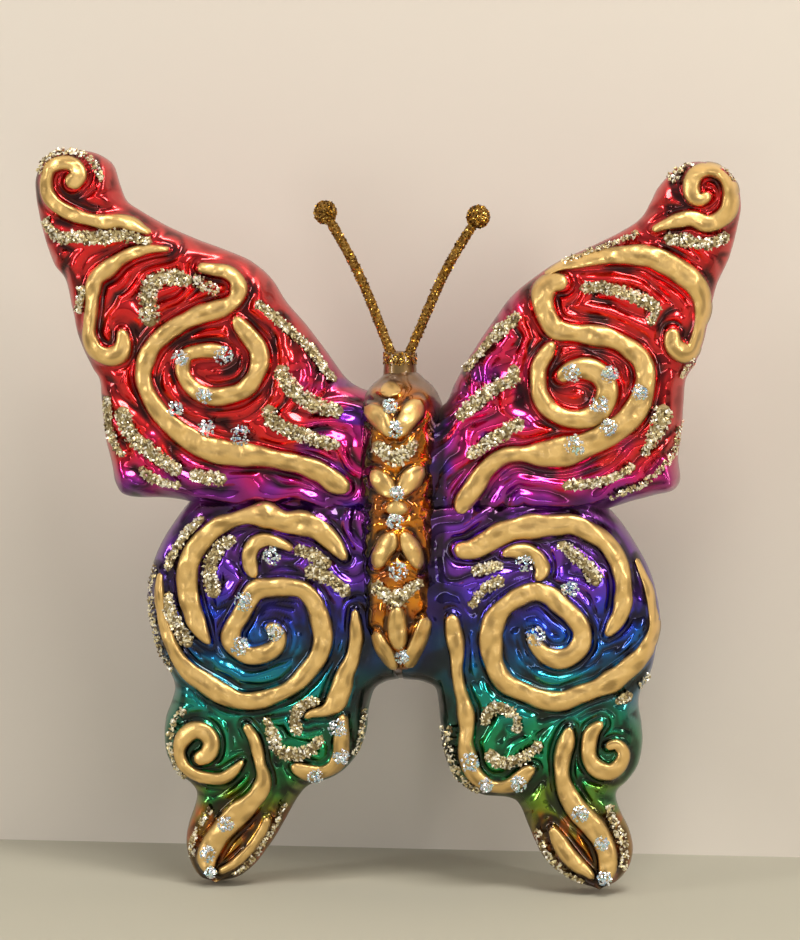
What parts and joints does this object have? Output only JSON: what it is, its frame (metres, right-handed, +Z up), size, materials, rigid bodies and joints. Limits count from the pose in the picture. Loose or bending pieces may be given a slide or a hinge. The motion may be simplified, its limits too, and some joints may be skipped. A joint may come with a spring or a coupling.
{
  "type": "clip-on butterfly ornament",
  "caption": "Silvered blown-glass butterfly ornament with raised gold scrolls, glitter, wire antennae and a sprung branch clip on its back.",
  "frame": {"origin": "centre of the clip's branch groove, where a twig of 3 mm radius is held", "axes": "+Z up through the head, -Y out of the decorated front, +X to the viewer's right along the groove"},
  "size_m": [0.1342, 0.0433, 0.1403],
  "materials": {
    "lacquered_glass": "silvered glass under clear red, magenta, blue, green and amber lacquers",
    "gold_relief": "satin gold paint on raised scrolls",
    "glitter": "coarse pale gold glitter in glue",
    "crystal_glitter": "iridescent white and blue crystal glitter",
    "antenna_glitter": "fine dark gold glitter",
    "bead_gold": "gold glitter over a bead",
    "wire_core": "plain wire",
    "plug_cork": "matt plug with set glue",
    "ferrule_metal": "thin gold-coloured tinplate",
    "leaf_steel": "pressed tinplate",
    "pin_steel": "plain steel",
    "spring_steel": "bright spring wire"
  },
  "bodies": {
    "ornament": {"antenna_bead_left": "bead_gold", "antenna_bead_right": "bead_gold", "antenna_coat_left": "antenna_glitter", "antenna_coat_right": "antenna_glitter", "antenna_wire_left": "wire_core", "antenna_wire_right": "wire_core", "body_gold_petals": "gold_relief", "body_surface_crystals": "crystal_glitter", "body_surface_glitter": "glitter", "clip_ferrule": "ferrule_metal", "clip_fixed_leaf": "leaf_steel", "clip_hinge_pin": "pin_steel", "clip_spring": "spring_steel", "clip_staple": "spring_steel", "glass_shell": "lacquered_glass", "left_forewing_edge_scroll": "gold_relief", "left_forewing_main_scroll": "gold_relief", "left_forewing_surface_crystals": "crystal_glitter", "left_forewing_surface_glitter": "glitter", "left_forewing_tip_scroll": "gold_relief", "left_hindwing_arc": "gold_relief", "left_hindwing_small_spiral": "gold_relief", "left_hindwing_spiral": "gold_relief", "left_hindwing_stem": "gold_relief", "left_hindwing_surface_crystals": "crystal_glitter", "left_hindwing_surface_glitter": "glitter", "left_hindwing_tail_leaf": "gold_relief", "neck_plug": "plug_cork", "right_forewing_edge_scroll": "gold_relief", "right_forewing_main_scroll": "gold_relief", "right_forewing_surface_crystals": "crystal_glitter", "right_forewing_surface_glitter": "glitter", "right_forewing_tip_scroll": "gold_relief", "right_hindwing_arc": "gold_relief", "right_hindwing_small_spiral": "gold_relief", "right_hindwing_spiral": "gold_relief", "right_hindwing_stem": "gold_relief", "right_hindwing_surface_crystals": "crystal_glitter", "right_hindwing_surface_glitter": "glitter", "right_hindwing_tail_leaf": "gold_relief"},
    "jaw": {"clip_moving_leaf": "leaf_steel"}
  },
  "joints": [
    {"name": "clip_hinge", "type": "hinge", "parent": "ornament", "child": "jaw", "pos_m": [0, 0, 0.013], "axis": [1, 0, 0], "range_deg": [0, 25], "stiffness_Nm_per_rad": 0.1, "springref_deg": -22.92, "deforming": ["clip_spring"]}
  ]
}
